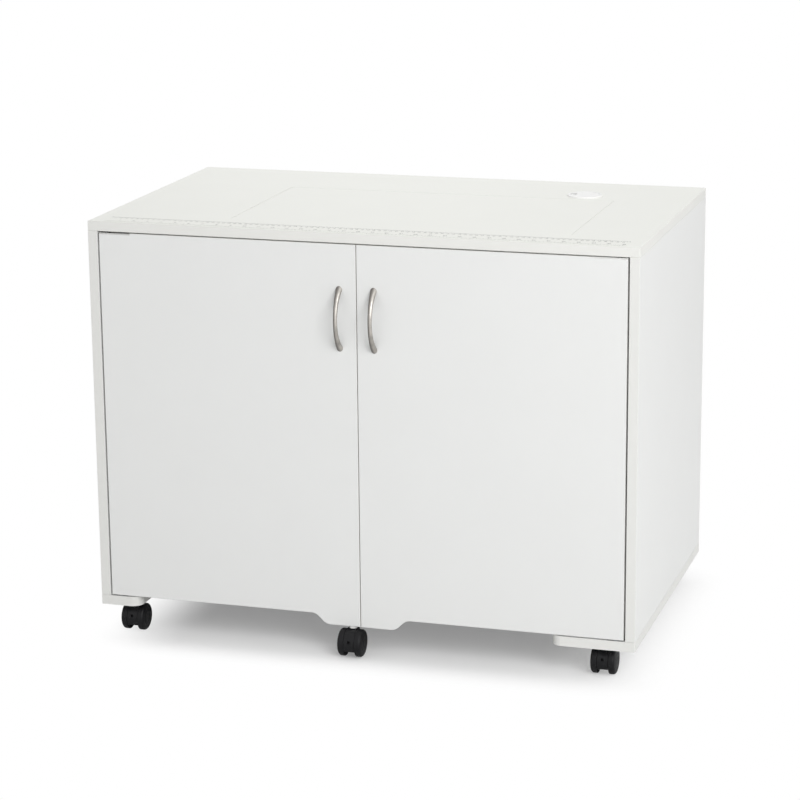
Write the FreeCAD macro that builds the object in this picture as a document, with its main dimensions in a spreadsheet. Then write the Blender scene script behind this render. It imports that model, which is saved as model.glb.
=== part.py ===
import FreeCAD, Part
import os
import re

import Sketcher

# White sewing cabinet on casters.
# +X is to the right, +Y to the back and +Z up. The origin is on the floor, in the middle of the
# cabinet's whole outline, so the casters stand on Z = 0.

# Driving sizes, in millimetres
DRIVING = {
    # Carcass of laminated board
    "cabinet_width": 973.5,
    "cabinet_depth": 582.7,
    "body_height": 697.4,
    "board_thickness": 17.2,
    "back_thickness": 12.0,
    "edge_ease": 1.0,
    "cut_overrun": 1.0,
    # Base panel with a narrow left foot, a wide right foot and a recess between them
    "foot_margin": 4.1,
    "right_foot_width": 146.2,
    "foot_recess_depth": 286.0,
    "foot_corner_radius": 19.0,
    "recess_corner_radius": 38.0,
    # Machine opening in the top, its lid and the cleats under the lid
    "opening_from_right": 133.3,
    "opening_from_front": 80.0,
    "opening_from_back": 174.8,
    "opening_width": 606.6,
    "lid_gap_left": 0.25,
    "lid_gap_right": 0.7,
    "lid_gap_ends": 0.25,
    "lid_cleat_length": 60.0,
    "lid_cleat_inset": 40.0,
    "lid_cleat_bearing": 24.0,
    "lid_cleat_overlap": 12.0,
    "lid_cleat_thickness": 12.0,
    # Partition, front rail and the narrow shelves behind the right door
    "partition_offset": 8.0,
    "partition_gap": 4.0,
    "rail_height": 50.0,
    "rail_thickness": 17.2,
    "rail_gap": 3.0,
    "shelf_thickness": 15.0,
    "shelf_setback": 6.0,
    "shelf_cleat_size": 12.0,
    # Measuring strip on the front of the top
    "strip_from_left": 28.2,
    "strip_from_right": 25.3,
    "strip_from_front": 6.8,
    "strip_width": 38.0,
    "strip_thickness": 0.4,
    # Cable grommet
    "grommet_from_right": 195.4,
    "grommet_setback": 39.2,
    "grommet_tube_radius": 28.5,
    "grommet_tube_wall": 4.1,
    "grommet_tube_length": 23.0,
    "grommet_hole_clearance": 0.2,
    "grommet_flange_lip": 3.0,
    "grommet_flange_height": 2.9,
    "grommet_flange_round": 1.3,
    "grommet_ledge": 2.7,
    "grommet_ledge_width": 2.4,
    "cap_thickness": 2.4,
    "cap_edge_gap": 0.4,
    "cap_skirt_clearance": 0.1,
    "cap_skirt_wall": 2.0,
    "cap_skirt_length": 8.0,
    "cable_notch_width": 13.4,
    "cable_notch_depth": 11.5,
    # Doors
    "door_thickness": 17.2,
    "door_setback": 0.5,
    "door_side_gap": 2.9,
    "door_seam": 1.2,
    "door_top_gap": 2.0,
    "door_bottom_gap": 1.9,
    "skirt_high_corner": 82.2,
    "skirt_run": 19.1,
    "skirt_corner_radius": 21.0,
    # Door pivots
    "pivot_inset": 15.3,
    "pivot_pin_radius": 4.0,
    "pivot_pin_depth": 10.0,
    "running_clearance": 0.05,
    "pin_end_gap": 0.5,
    "pivot_plate_thickness": 2.0,
    "pivot_plate_width": 13.4,
    "door_plate_length": 57.3,
    "base_plate_length": 28.6,
    "left_mortise_depth": 3.1,
    "right_mortise_depth": 2.0,
    # Bow handles and their screws
    "handle_from_seam": 30.6,
    "handle_drop": 148.1,
    "handle_chord": 101.2,
    "handle_projection": 26.7,
    "handle_waist_width": 7.2,
    "handle_foot_width": 11.3,
    "handle_depth_share": 0.85,
    "handle_screw_inset": 2.6,
    "handle_screw_radius": 2.0,
    "handle_screw_reach": 7.0,
    "handle_screw_head_radius": 4.5,
    "handle_screw_head_height": 3.0,
    # Magnetic catches and their strike plates
    "catch_length": 40.0,
    "catch_height": 12.0,
    "catch_depth": 25.0,
    "catch_from_seam": 20.0,
    "catch_gap": 0.5,
    "strike_thickness": 1.5,
    # Rack of trays on the left door
    "rack_from_seam": 57.3,
    "rack_from_hinge": 55.9,
    "rack_rise": 61.0,
    "rack_headroom": 74.5,
    "rack_depth": 48.0,
    "rack_board": 12.0,
    "rack_lip_height": 35.0,
    "rack_lip_thickness": 8.0,
    # Machine lift
    "platform_margin": 16.0,
    "platform_thickness": 16.0,
    "platform_headroom": 12.0,
    "post_setback": 46.0,
    "post_inset": 160.0,
    "post_radius": 12.5,
    "post_wall": 2.0,
    "post_flange_radius": 30.0,
    "post_flange_thickness": 4.0,
    "bearing_size": 40.0,
    "bearing_height": 85.0,
    "bearing_clearance": 0.1,
    "stop_collar_radius": 19.0,
    "stop_collar_height": 15.0,
    "carriage_plate_margin": 38.0,
    "carriage_plate_thickness": 3.0,
    "bracket_inset": 29.0,
    "bracket_thickness": 4.0,
    "bracket_depth": 70.0,
    "bracket_tip_depth": 22.0,
    "bracket_tip_inset": 50.0,
    # Gas spring of the lift
    "gas_foot_size": 50.0,
    "gas_foot_height": 5.0,
    "gas_cylinder_radius": 14.0,
    "gas_wall": 3.0,
    "gas_floor": 4.0,
    "gas_gland_height": 10.0,
    "gas_rod_radius": 5.0,
    "gas_rod_clearance": 0.1,
    "gas_piston_gap": 0.3,
    "gas_piston_height": 8.0,
    "gas_stroke_margin": 2.0,
    "gas_rod_reveal": 8.0,
    "rod_block_width": 30.0,
    "rod_block_height": 14.0,
    "rod_block_headroom": 3.0,
    # Twin-wheel casters
    "wheel_diameter": 48.6,
    "wheel_width": 12.7,
    "wheel_gap": 20.0,
    "wheel_outer_round": 6.5,
    "wheel_inner_round": 1.0,
    "hood_recess": 0.9,
    "hood_side_gap": 0.5,
    "hood_floor_gap": 12.9,
    "hood_window": 4.8,
    "hood_window_depth": 5.0,
    "hood_window_rise": 4.4,
    "hub_depth": 13.4,
    "caster_trail": 8.0,
    "swivel_gap": 1.9,
    "caster_plate_thickness": 2.9,
    "caster_plate_size": 34.4,
    "caster_stem_radius": 3.8,
    "caster_stem_reach": 21.0,
    "axle_radius": 3.0,
    "axle_seat": 9.0,
    "caster_from_left": 51.8,
    "caster_from_right": 58.8,
    "caster_from_front": 42.0,
    "caster_from_back": 46.8,
    "caster_screw_inset": 4.8,
    "caster_screw_radius": 1.75,
    "caster_screw_head_radius": 3.4,
    "caster_screw_reach": 12.0,
    # Socket of the caster under the left door
    "door_caster_from_seam": 15.9,
    "socket_flange_radius": 7.6,
    "socket_flange_gap": 1.0,
    "socket_wall": 1.45,
    "socket_depth": 33.4,
    "socket_stem_depth": 28.7,
}

# Sizes that follow from the driving ones
DERIVED = {
    "half_width": "cabinet_width / 2",
    "inner_half": "half_width - board_thickness",
    # Heights
    "wheel_radius": "wheel_diameter / 2",
    "hood_radius": "wheel_radius - hood_recess",
    "hood_top": "wheel_diameter",
    "caster_plate_bottom": "hood_top + swivel_gap",
    "caster_height": "caster_plate_bottom + caster_plate_thickness",
    "base_top": "caster_height + board_thickness",
    "table_top": "caster_height + body_height",
    "top_underside": "table_top - board_thickness",
    "inner_height": "top_underside - base_top",
    # Depths, with the outline's middle at zero
    "door_middle": "door_setback + door_thickness / 2",
    "handle_reach": "handle_projection - door_setback",
    "door_caster_reach": "caster_trail + wheel_radius - door_middle",
    "front_reach": "max(handle_reach; door_caster_reach)",
    "front_y": "(front_reach - cabinet_depth) / 2",
    "back_y": "front_y + cabinet_depth",
    "back_panel_y": "back_y - back_thickness",
    "door_front_y": "front_y + door_setback",
    "door_back_y": "door_front_y + door_thickness",
    "door_middle_y": "front_y + door_middle",
    # Machine opening
    "opening_right": "half_width - opening_from_right",
    "opening_left": "opening_right - opening_width",
    "opening_middle": "opening_left + opening_width / 2",
    "opening_front_y": "front_y + opening_from_front",
    "opening_back_y": "back_y - opening_from_back",
    "opening_depth": "opening_back_y - opening_front_y",
    # Partition and front rail
    "partition_x": "opening_right + partition_offset",
    "partition_right": "partition_x + board_thickness",
    "partition_y": "door_back_y + partition_gap",
    "pivot_swing": "sqrt(pivot_inset ^ 2 + door_thickness ^ 2 / 4)",
    "swing_back_y": "door_middle_y + pivot_swing",
    "rail_y": "swing_back_y + rail_gap",
    "rail_bottom": "top_underside - rail_height",
    "shelf_y": "swing_back_y + shelf_setback",
    "shelf_depth": "back_panel_y - shelf_y",
    "compartment_width": "inner_half - partition_right",
    # Measuring strip and grommet
    "strip_length": "cabinet_width - strip_from_left - strip_from_right",
    "grommet_x": "half_width - grommet_from_right",
    "grommet_y": "opening_back_y + grommet_setback",
    "grommet_top": "table_top + grommet_flange_height",
    "grommet_flange_radius": "grommet_tube_radius + grommet_flange_lip",
    "grommet_bore_radius": "grommet_tube_radius - grommet_tube_wall",
    "grommet_seat_radius": "grommet_bore_radius + grommet_ledge_width",
    "cap_bottom": "grommet_top - grommet_ledge",
    "cap_radius": "grommet_seat_radius - cap_edge_gap",
    "cap_skirt_radius": "grommet_bore_radius - cap_skirt_clearance",
    # Doors and pivots
    "door_outer": "inner_half - door_side_gap",
    "door_inner": "door_seam / 2",
    "door_top": "top_underside - door_top_gap",
    "door_bottom": "base_top + door_bottom_gap",
    "skirt_low_corner": "skirt_high_corner - skirt_run",
    "pivot_x": "door_outer - pivot_inset",
    "pivot_hole_radius": "pivot_pin_radius + running_clearance",
    # Handles
    "handle_z": "table_top - handle_drop",
    "handle_rise": "handle_projection - handle_waist_width * handle_depth_share / 2",
    "handle_half_chord": "handle_chord / 2",
    "handle_screw_pitch": "handle_chord - 2 * handle_screw_inset",
    "handle_arc_radius": "(handle_half_chord ^ 2 + handle_rise ^ 2) / (2 * handle_rise)",
    "handle_arc_y": "door_front_y - handle_rise + handle_arc_radius",
    # Rack on the left door
    "rack_right": "-rack_from_seam",
    "rack_left": "rack_from_hinge - door_outer",
    "rack_width": "rack_right - rack_left",
    "rack_bottom": "door_bottom + rack_rise",
    "rack_height": "rail_bottom - rack_headroom - rack_bottom",
    "rack_inner_width": "rack_width - 2 * rack_board",
    # Lift: its travel is what the gas spring leaves between the base and the top
    "post_y": "opening_back_y + post_setback",
    "post_pitch": "opening_width - 2 * post_inset",
    "carriage_plate_width": "post_pitch + 2 * carriage_plate_margin",
    "bracket_pitch": "post_pitch - 2 * bracket_inset",
    "bearing_y": "post_y - bearing_size / 2",
    "carriage_y": "bearing_y - carriage_plate_thickness",
    "gas_bottom": "base_top + gas_foot_height",
    "gas_bore_radius": "gas_cylinder_radius - gas_wall",
    "gas_dead_length": "gas_floor + gas_piston_height + 2 * gas_stroke_margin + gas_gland_height",
    "rod_end_height": "gas_rod_reveal + rod_block_height + rod_block_headroom + post_flange_thickness",
    "lift_travel": "(top_underside - gas_bottom - gas_dead_length - rod_end_height) / 2",
    "gas_length": "gas_dead_length + lift_travel",
    "gas_top": "gas_bottom + gas_length",
    "piston_bottom": "gas_bottom + gas_floor + gas_stroke_margin",
    "rod_end": "gas_top + gas_rod_reveal",
    "rod_block_top": "rod_end + rod_block_height",
    "platform_top": "top_underside - platform_headroom - lift_travel",
    "platform_bottom": "platform_top - platform_thickness",
    "carriage_bottom": "platform_bottom - bracket_depth",
    "platform_x": "opening_left + platform_margin",
    "platform_width": "opening_width - 2 * platform_margin",
    "platform_y": "opening_front_y + platform_margin",
    "platform_depth": "opening_depth - 2 * platform_margin",
    # Casters
    "hood_width": "wheel_gap - 2 * hood_side_gap",
    "stem_bottom": "hood_top - caster_stem_reach",
    "caster_screw_pitch": "caster_plate_size - 2 * caster_screw_inset",
    "left_foot_width": "caster_from_left + caster_plate_size / 2 + foot_margin",
    "caster_left_x": "caster_from_left - half_width",
    "caster_right_x": "half_width - caster_from_right",
    "caster_front_y": "front_y + caster_from_front",
    "caster_back_y": "back_y - caster_from_back",
    "socket_bottom": "hood_top + socket_flange_gap",
    "socket_radius": "caster_stem_radius + socket_wall",
}

COMPARTMENT_SHELVES = 3
RACK_SHELVES = 3
SAME_PLACE = 1e-6

# Stations along a handle's bow as shares of its half angle, past the ends so that the feet can be
# trimmed flush with the door
HANDLE_STATION_SHARES = (-1.15, -0.85, -0.5, 0, 0.5, 0.85, 1.15)

DOC = FreeCAD.newDocument("SewingCabinet")
SHEET = DOC.addObject("Spreadsheet::Sheet", "Sizes")
NODES = []


def fill_sheet():
    """Write every size to the sheet under its own name."""
    cells = {name: str(number) for name, number in DRIVING.items()}
    cells.update({name: "=" + formula for name, formula in DERIVED.items()})
    for row, (name, content) in enumerate(cells.items(), start=1):
        SHEET.set(f"A{row}", name)
        SHEET.set(f"B{row}", content)
        SHEET.setAlias(f"B{row}", name)
    DOC.recompute()


def scoped(formula):
    """Formula whose size names point to the sheet."""
    return re.sub(r"\b[a-z]+(?:_[a-z]+)+\b", lambda found: "Sizes." + found.group(), formula)


def value(formula):
    """Number that a formula of size names comes to."""
    result = SHEET.evalExpression(scoped(formula))
    return float(getattr(result, "Value", result))


def bind(item, **formulas):
    """Bind properties of an object to formulas of size names."""
    for name, formula in formulas.items():
        item.setExpression(name, scoped(formula))


def place(item, at):
    """Bind an object's place to three formulas."""
    for axis, formula in zip("xyz", at):
        item.setExpression("Placement.Base." + axis, scoped(formula))


def turned(along):
    """Turn that lays an upright rod along an axis."""
    turns = {
        "x": FreeCAD.Rotation(FreeCAD.Vector(0, 1, 0), 90),
        "y": FreeCAD.Rotation(FreeCAD.Vector(1, 0, 0), -90),
        "z": FreeCAD.Rotation(),
    }
    return FreeCAD.Placement(FreeCAD.Vector(), turns[along])


def keep(item):
    """Mark a finished sub-part, whose label names its file."""
    NODES.append(item)
    return item


def new_body(label):
    """Empty body of one solid."""
    body = DOC.addObject("PartDesign::Body", label)
    body.Label = label
    return body


def box(body, size, at, cut=False):
    """Add a block to a body, or cut one out, from its left front bottom corner."""
    block = body.newObject("PartDesign::SubtractiveBox" if cut else "PartDesign::AdditiveBox", "Block")
    bind(block, Length=size[0], Width=size[1], Height=size[2])
    place(block, at)


def rod(body, radius, length, at, along="z", cut=False):
    """Add a round bar to a body, or bore one out, from the middle of its low end."""
    kind = "PartDesign::SubtractiveCylinder" if cut else "PartDesign::AdditiveCylinder"
    bar = body.newObject(kind, "Bar")
    bar.Placement = turned(along)
    bind(bar, Radius=radius, Height=length)
    place(bar, at)


def cone(body, low_radius, high_radius, length, at, cut=False):
    """Add an upright cone to a body, or sink one, from the middle of its low end."""
    kind = "PartDesign::SubtractiveCone" if cut else "PartDesign::AdditiveCone"
    taper = body.newObject(kind, "Taper")
    bind(taper, Radius1=low_radius, Radius2=high_radius, Height=length)
    place(taper, at)


def pad_outline(body, plane_role, corners, thickness, reverse=False):
    """Pad a closed outline of straight sides, each corner held by two formulas."""
    plane = next(part for part in body.Origin.OriginFeatures if part.Role == plane_role)
    sketch = body.newObject("Sketcher::SketchObject", "Outline")
    sketch.AttachmentSupport = [(plane, "")]
    sketch.MapMode = "FlatFace"
    points = [FreeCAD.Vector(value(across), value(along), 0) for across, along in corners]
    count = len(points)
    for number, point in enumerate(points):
        sketch.addGeometry(Part.LineSegment(point, points[(number + 1) % count]), False)
    for number in range(count):
        sketch.addConstraint(Sketcher.Constraint("Coincident", number, 2, (number + 1) % count, 1))
    for number, (point, formulas) in enumerate(zip(points, corners)):
        for kind, distance, formula in zip(("DistanceX", "DistanceY"), point, formulas):
            held = sketch.addConstraint(Sketcher.Constraint(kind, -1, 1, number, 1, distance))
            sketch.setExpression(f"Constraints[{held}]", scoped(formula))
    pad = body.newObject("PartDesign::Pad", "Pad")
    pad.Profile = sketch
    pad.Reversed = reverse
    bind(pad, Length=thickness)


def ease(body, radius, chosen=lambda edge: True):
    """Round the chosen edges of a body."""
    DOC.recompute()
    base = body.Tip
    names = [f"Edge{number}" for number, edge in enumerate(base.Shape.Edges, start=1) if chosen(edge)]
    round_over = body.newObject("PartDesign::Fillet", "RoundOver")
    round_over.Base = (base, names)
    bind(round_over, Radius=radius)


def through_corner(direction, places):
    """Choice of the straight edges along a direction that stand at any of the given places."""
    axis = "xyz".index(direction)
    others = [number for number in range(3) if number != axis]

    def chosen(edge):
        ends = [vertex.Point for vertex in edge.Vertexes]
        level = all(abs(ends[0][number] - ends[-1][number]) < SAME_PLACE for number in others)
        spot = [ends[0][number] for number in others]
        hits = [max(abs(spot[0] - across), abs(spot[1] - along)) < SAME_PLACE for across, along in places]
        return level and any(hits)

    return chosen


def circle_at(axis, distance):
    """Choice of the circles that lie across an axis at a distance along it."""

    def chosen(edge):
        limits = edge.BoundBox
        low = getattr(limits, axis.upper() + "Min")
        high = getattr(limits, axis.upper() + "Max")
        return abs(low - distance) < SAME_PLACE and abs(high - distance) < SAME_PLACE

    return chosen


def flat_across_depth(edge):
    """Choice of the outline edges of a panel that faces the front."""
    return edge.BoundBox.YLength < SAME_PLACE


def board(label, size, at, eased=True):
    """Flat board with eased edges."""
    body = new_body(label)
    box(body, size, at)
    if eased:
        ease(body, "edge_ease")
    return body


def group(label, items):
    """One node of several like solids."""
    compound = DOC.addObject("Part::Compound", label)
    compound.Label = label
    compound.Links = items
    return keep(compound)


def make_sides_and_back():
    """Side panels between the base and the top, and the back panel between them."""
    for label, left in (("left_side_panel", "-half_width"), ("right_side_panel", "inner_half")):
        keep(board(label, ("board_thickness", "cabinet_depth", "inner_height"),
                   (left, "front_y", "base_top")))
    keep(board("back_panel", ("2 * inner_half", "back_thickness", "inner_height"),
               ("-inner_half", "back_panel_y", "base_top"), eased=False))


def caster_spots():
    """Names and places of the four casters under the base."""
    return {
        "front_left": ("caster_left_x", "caster_front_y"),
        "front_right": ("caster_right_x", "caster_front_y"),
        "rear_left": ("caster_left_x", "caster_back_y"),
        "rear_right": ("caster_right_x", "caster_back_y"),
    }


def plate_screw_spots(across, along):
    """Places of the four screws round a caster plate."""
    half = "caster_screw_pitch / 2"
    return [(f"{across} {side} {half}", f"{along} {end} {half}") for side in "-+" for end in "-+"]


def make_base():
    """Base panel under the sides, cut back between the two feet, drilled for pivots and casters."""
    body = new_body("base_panel")
    left_edge, right_edge = "-half_width + left_foot_width", "half_width - right_foot_width"
    recess_back = "front_y + foot_recess_depth"
    corners = [
        ("-half_width", "front_y"), (left_edge, "front_y"), (left_edge, recess_back),
        (right_edge, recess_back), (right_edge, "front_y"), ("half_width", "front_y"),
        ("half_width", "back_y"), ("-half_width", "back_y"),
    ]
    pad_outline(body, "XY_Plane", corners, "board_thickness")
    spots = [(value(across), value(along)) for across, along in corners]
    ease(body, "foot_corner_radius", through_corner("z", [spots[1], spots[4]]))
    ease(body, "recess_corner_radius", through_corner("z", [spots[2], spots[3]]))
    ease(body, "edge_ease", through_corner("z", [spots[0], spots[5], spots[6], spots[7]]))
    place(body, ("0", "0", "caster_height"))
    for side in ("-", "+"):
        pin_x = f"{side}pivot_x"
        box(body, ("base_plate_length", "pivot_plate_width", "pivot_plate_thickness + cut_overrun"),
            (f"{pin_x} - base_plate_length / 2", "door_middle_y - pivot_plate_width / 2",
             "board_thickness - pivot_plate_thickness"), cut=True)
    for across, along in caster_spots().values():
        for screw_x, screw_y in plate_screw_spots(across, along):
            rod(body, "caster_screw_radius", "caster_screw_reach + cut_overrun",
                (screw_x, screw_y, "-cut_overrun"), cut=True)
    keep(body)


def make_top():
    """Top panel over the sides, with the machine opening, the grommet hole and the pivot holes."""
    body = board("top_panel", ("cabinet_width", "cabinet_depth", "board_thickness"),
                 ("-half_width", "front_y", "top_underside"))
    through = "board_thickness + 2 * cut_overrun"
    under = "top_underside - cut_overrun"
    box(body, ("opening_width", "opening_depth", through),
        ("opening_left", "opening_front_y", under), cut=True)
    rod(body, "grommet_tube_radius + grommet_hole_clearance", through,
        ("grommet_x", "grommet_y", under), cut=True)
    for side in ("-", "+"):
        rod(body, "pivot_hole_radius", "pivot_pin_depth + pin_end_gap + cut_overrun",
            (f"{side}pivot_x", "door_middle_y", under), cut=True)
    keep(body)


def make_lid():
    """Lid that lies flush in the machine opening, and the cleats that it rests on."""
    keep(board("lid_panel",
               ("opening_width - lid_gap_left - lid_gap_right", "opening_depth - 2 * lid_gap_ends",
                "board_thickness"),
               ("opening_left + lid_gap_left", "opening_front_y + lid_gap_ends", "top_underside")))
    widths = {
        "opening_left - lid_cleat_bearing": "lid_cleat_bearing + lid_cleat_overlap",
        "opening_right - lid_cleat_overlap": "partition_offset + lid_cleat_overlap",
    }
    depths = ("opening_front_y + lid_cleat_inset", "opening_back_y - lid_cleat_inset - lid_cleat_length")
    cleats = [
        board(f"lid_cleat_{left_number}_{depth_number}", (width, "lid_cleat_length", "lid_cleat_thickness"),
              (left, depth, "top_underside - lid_cleat_thickness"))
        for left_number, (left, width) in enumerate(widths.items())
        for depth_number, depth in enumerate(depths)
    ]
    group("lid_cleats", cleats)


def make_partition_and_rail():
    """Partition on the wide right foot, and the rail that stiffens the top behind the doors."""
    keep(board("partition_panel", ("board_thickness", "back_panel_y - partition_y", "inner_height"),
               ("partition_x", "partition_y", "base_top")))
    keep(board("front_rail", ("partition_x + inner_half", "rail_thickness", "rail_height"),
               ("-inner_half", "rail_y", "rail_bottom")))


def make_compartment():
    """Narrow shelves between the partition and the right side, each on two cleats."""
    shelves, cleats = [], []
    for number in range(1, COMPARTMENT_SHELVES + 1):
        under = f"base_top + inner_height * {number} / {COMPARTMENT_SHELVES + 1}"
        shelves.append(board(f"compartment_shelf_{number}",
                             ("compartment_width", "shelf_depth", "shelf_thickness"),
                             ("partition_right", "shelf_y", under)))
        for side, left in (("left", "partition_right"), ("right", "inner_half - shelf_cleat_size")):
            cleats.append(board(f"shelf_cleat_{side}_{number}",
                                ("shelf_cleat_size", "shelf_depth", "shelf_cleat_size"),
                                (left, "shelf_y", f"{under} - shelf_cleat_size")))
    group("compartment_shelves", shelves)
    group("shelf_cleats", cleats)


def make_measuring_strip():
    """Thin measuring strip stuck along the front of the top."""
    keep(board("measuring_strip", ("strip_length", "strip_width", "strip_thickness"),
               ("strip_from_left - half_width", "front_y + strip_from_front", "table_top"), eased=False))


def make_grommet():
    """Cable grommet: a flanged ring with a ledge, and a cap with a notch that turns in it."""
    ring = new_body("grommet_ring")
    middle = ("grommet_x", "grommet_y")
    rod(ring, "grommet_flange_radius", "grommet_flange_height", (*middle, "table_top"))
    ease(ring, "grommet_flange_round", circle_at("z", value("grommet_top")))
    rod(ring, "grommet_tube_radius", "grommet_tube_length", (*middle, "table_top - grommet_tube_length"))
    rod(ring, "grommet_bore_radius", "grommet_tube_length + grommet_flange_height + 2 * cut_overrun",
        (*middle, "table_top - grommet_tube_length - cut_overrun"), cut=True)
    rod(ring, "grommet_seat_radius", "grommet_ledge + cut_overrun", (*middle, "cap_bottom"), cut=True)
    keep(ring)

    cap = new_body("grommet_cap")
    skirt_low = "cap_bottom - cap_skirt_length"
    rod(cap, "cap_radius", "cap_thickness", (*middle, "cap_bottom"))
    rod(cap, "cap_skirt_radius", "cap_skirt_length", (*middle, skirt_low))
    rod(cap, "cap_skirt_radius - cap_skirt_wall", "cap_skirt_length + cut_overrun",
        (*middle, f"{skirt_low} - cut_overrun"), cut=True)
    box(cap, ("cable_notch_depth + cut_overrun", "cable_notch_width",
              "cap_thickness + cap_skirt_length + 2 * cut_overrun"),
        ("grommet_x - cap_radius - cut_overrun", "grommet_y - cable_notch_width / 2",
         f"{skirt_low} - cut_overrun"), cut=True)
    keep(cap)


def make_base_pivots():
    """Plates let into the base, each with the pin that a door turns on."""
    pivots = []
    for side, sign in (("left", "-"), ("right", "+")):
        body = new_body(f"base_pivot_{side}")
        pin_x = f"{sign}pivot_x"
        box(body, ("base_plate_length", "pivot_plate_width", "pivot_plate_thickness"),
            (f"{pin_x} - base_plate_length / 2", "door_middle_y - pivot_plate_width / 2",
             "base_top - pivot_plate_thickness"))
        rod(body, "pivot_pin_radius", "door_bottom_gap + pivot_pin_depth",
            (pin_x, "door_middle_y", "base_top"))
        pivots.append(body)
    group("base_pivots", pivots)


def make_door(side, sign, mortise_depth, holes=()):
    """Door with its S-curved skirt, its top mortise, and holes for pivot, handle screws and extras."""
    body = new_body(f"{side}_door")
    corners = [
        (f"{sign}door_outer", "door_bottom"), (f"{sign}skirt_high_corner", "door_bottom"),
        (f"{sign}skirt_low_corner", "caster_height"), (f"{sign}door_inner", "caster_height"),
        (f"{sign}door_inner", "door_top"), (f"{sign}door_outer", "door_top"),
    ]
    pad_outline(body, "XZ_Plane", corners, "door_thickness", reverse=True)
    curve = [(value(across), value(up)) for across, up in corners[1:3]]
    ease(body, "skirt_corner_radius", through_corner("y", curve))
    ease(body, "edge_ease", flat_across_depth)
    place(body, ("0", "door_front_y", "0"))
    middle = "door_thickness / 2"
    mortise_length = "door_plate_length + cut_overrun"
    mortise_left = "-door_outer - cut_overrun" if sign == "-" else "door_outer - door_plate_length"
    box(body, (mortise_length, "door_thickness + 2 * cut_overrun", f"{mortise_depth} + cut_overrun"),
        (mortise_left, "-cut_overrun", f"door_top - {mortise_depth}"), cut=True)
    rod(body, "pivot_hole_radius", "pivot_pin_depth + pin_end_gap + cut_overrun",
        (f"{sign}pivot_x", middle, "door_bottom - cut_overrun"), cut=True)
    for end in "-+":
        rod(body, "handle_screw_radius", "door_thickness + 2 * cut_overrun",
            (f"{sign}handle_from_seam", "-cut_overrun", f"handle_z {end} handle_screw_pitch / 2"),
            along="y", cut=True)
    for radius, length, at in holes:
        rod(body, radius, length, at, cut=True)
    keep(body)


def make_door_pivot(side, sign, mortise_depth):
    """Plate in the mortise on a door's top edge, with the pin that runs in the top panel."""
    body = new_body(f"{side}_door_pivot")
    plate_left = "-door_outer" if sign == "-" else "door_outer - door_plate_length"
    plate_low = f"door_top - {mortise_depth}"
    box(body, ("door_plate_length", "pivot_plate_width", "pivot_plate_thickness"),
        (plate_left, "door_middle_y - pivot_plate_width / 2", plate_low))
    rod(body, "pivot_pin_radius", f"{mortise_depth} + door_top_gap + pivot_pin_depth",
        (f"{sign}pivot_x", "door_middle_y", plate_low))
    keep(body)


def make_handle(side, sign):
    """Bow handle that thickens to its two feet, trimmed flush with the door and tapped for screws."""
    across = f"{sign}handle_from_seam"
    half_angle = "asin(handle_half_chord / handle_arc_radius)"
    stations = []
    for number, share in enumerate(HANDLE_STATION_SHARES):
        angle = f"({share} * {half_angle})"
        ring = DOC.addObject("Part::Ellipse", f"{side}_handle_ring_{number}")
        half_width = f"(handle_waist_width + {share * share} * (handle_foot_width - handle_waist_width)) / 2"
        bind(
            ring,
            MajorRadius=half_width,
            MinorRadius=f"{half_width} * handle_depth_share",
            Placement=f"placement(vector({across}; handle_arc_y - handle_arc_radius * cos({angle});"
                      f" handle_z + handle_arc_radius * sin({angle})); rotation(vector(1; 0; 0); -{angle}))",
        )
        stations.append(ring)
    bow = DOC.addObject("Part::Loft", f"{side}_handle_bow")
    bow.Sections = stations
    bow.Solid = True

    door_room = DOC.addObject("Part::Box", f"{side}_handle_door_room")
    bind(door_room, Length="2 * handle_foot_width", Width="handle_chord", Height="2 * handle_chord")
    place(door_room, (f"{across} - handle_foot_width", "door_front_y", "handle_z - handle_chord"))
    trimmed = DOC.addObject("Part::Cut", f"{side}_handle_trimmed")
    trimmed.Base, trimmed.Tool = bow, door_room
    for end, name in (("-", "low"), ("+", "high")):
        hole = DOC.addObject("Part::Cylinder", f"{side}_handle_hole_{name}")
        hole.Placement = turned("y")
        bind(hole, Radius="handle_screw_radius", Height="handle_screw_reach + cut_overrun")
        place(hole, (across, "door_front_y - handle_screw_reach", f"handle_z {end} handle_screw_pitch / 2"))
        tapped = DOC.addObject("Part::Cut", f"{side}_handle_tapped_{name}")
        tapped.Base, tapped.Tool = trimmed, hole
        trimmed = tapped
    trimmed.Label = f"{side}_handle"
    keep(trimmed)


def make_handle_screws(side, sign):
    """Screws through the door into the handle's feet."""
    screws = []
    for end, name in (("-", "low"), ("+", "high")):
        body = new_body(f"{side}_handle_screw_{name}")
        height = f"handle_z {end} handle_screw_pitch / 2"
        rod(body, "handle_screw_radius", "handle_screw_reach + door_thickness",
            (f"{sign}handle_from_seam", "door_front_y - handle_screw_reach", height), along="y")
        rod(body, "handle_screw_head_radius", "handle_screw_head_height",
            (f"{sign}handle_from_seam", "door_back_y", height), along="y")
        screws.append(body)
    group(f"{side}_handle_screws", screws)


def make_catches():
    """Magnetic catches under the front rail, and the strike plates on the doors that they hold."""
    catches = []
    low = "rail_bottom - catch_height"
    for side, left in (("left", "-catch_from_seam - catch_length"), ("right", "catch_from_seam")):
        catches.append(board(f"door_catch_{side}", ("catch_length", "catch_depth", "catch_height"),
                             (left, "door_back_y + strike_thickness + catch_gap", low)))
        keep(board(f"{side}_strike_plate", ("catch_length", "strike_thickness", "catch_height"),
                   (left, "door_back_y", low), eased=False))
    group("door_catches", catches)


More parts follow.
